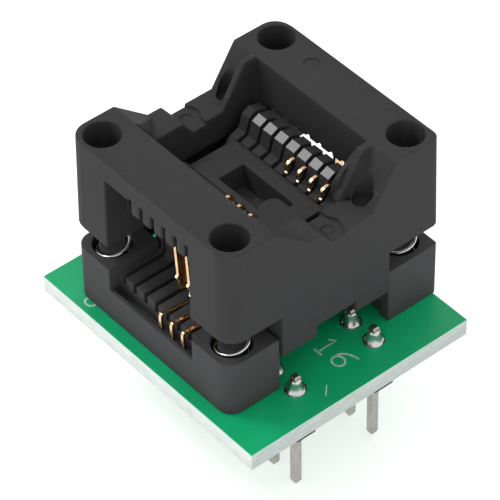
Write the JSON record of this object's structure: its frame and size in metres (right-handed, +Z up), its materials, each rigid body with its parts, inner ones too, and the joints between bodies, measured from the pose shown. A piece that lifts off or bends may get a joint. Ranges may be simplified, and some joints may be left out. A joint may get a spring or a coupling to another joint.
{
  "type": "ic programming adapter",
  "caption": "Open-top spring-loaded chip test socket on a small circuit board with rows of square header pins; pressing its moulded cover down opens the gold contacts.",
  "frame": {"origin": "on the floor at the header pins' tips, under the middle of the circuit board", "axes": "+X along the rows of header pins and chip contacts towards the fitted contacts and pin 1, +Y across the rows towards the wall with the steep lead-in slopes, +Z up out of the socket"},
  "size_m": [0.0242, 0.0212, 0.0257],
  "materials": {
    "board_green": "green solder mask on glass-fibre laminate",
    "socket_black": "moulded black, satin",
    "strip_black": "moulded black",
    "pin_metal": "tin plated",
    "solder_metal": "bright solder",
    "contact_gold": "gold plated",
    "spring_steel": "bright spring wire"
  },
  "bodies": {
    "adapter": {"circuit_board": "board_green", "header_strip_front": "strip_black", "header_strip_back": "strip_black", "socket_base": "socket_black", "header_pin_01": "pin_metal", "header_pin_02": "pin_metal", "header_pin_03": "pin_metal", "header_pin_04": "pin_metal", "header_pin_05": "pin_metal", "header_pin_06": "pin_metal", "header_pin_07": "pin_metal", "header_pin_08": "pin_metal", "header_pin_09": "pin_metal", "header_pin_10": "pin_metal", "header_pin_11": "pin_metal", "header_pin_12": "pin_metal", "header_pin_13": "pin_metal", "header_pin_14": "pin_metal", "header_pin_15": "pin_metal", "header_pin_16": "pin_metal", "pin_solder_01": "solder_metal", "pin_solder_02": "solder_metal", "pin_solder_03": "solder_metal", "pin_solder_04": "solder_metal", "pin_solder_05": "solder_metal", "pin_solder_06": "solder_metal", "pin_solder_07": "solder_metal", "pin_solder_08": "solder_metal", "pin_solder_09": "solder_metal", "pin_solder_10": "solder_metal", "pin_solder_11": "solder_metal", "pin_solder_12": "solder_metal", "pin_solder_13": "solder_metal", "pin_solder_14": "solder_metal", "pin_solder_15": "solder_metal", "pin_solder_16": "solder_metal", "contact_solder_05": "solder_metal", "contact_solder_06": "solder_metal", "contact_solder_07": "solder_metal", "contact_solder_08": "solder_metal", "contact_solder_09": "solder_metal", "contact_solder_10": "solder_metal", "contact_solder_11": "solder_metal", "contact_solder_12": "solder_metal", "contact_05": "contact_gold", "contact_06": "contact_gold", "contact_07": "contact_gold", "contact_08": "contact_gold", "contact_09": "contact_gold", "contact_10": "contact_gold", "contact_11": "contact_gold", "contact_12": "contact_gold", "spring_front_left": "spring_steel", "spring_front_right": "spring_steel", "spring_back_left": "spring_steel", "spring_back_right": "spring_steel"},
    "cover": {"press_cover": "socket_black"}
  },
  "joints": [
    {"name": "cover_press", "type": "slide", "parent": "adapter", "child": "cover", "axis": [0, 0, -1], "range_m": [0, 0.002], "stiffness_N_per_m": 2300, "springref_m": -0.001, "deforming": ["spring_front_left", "spring_front_right", "spring_back_left", "spring_back_right"]}
  ]
}
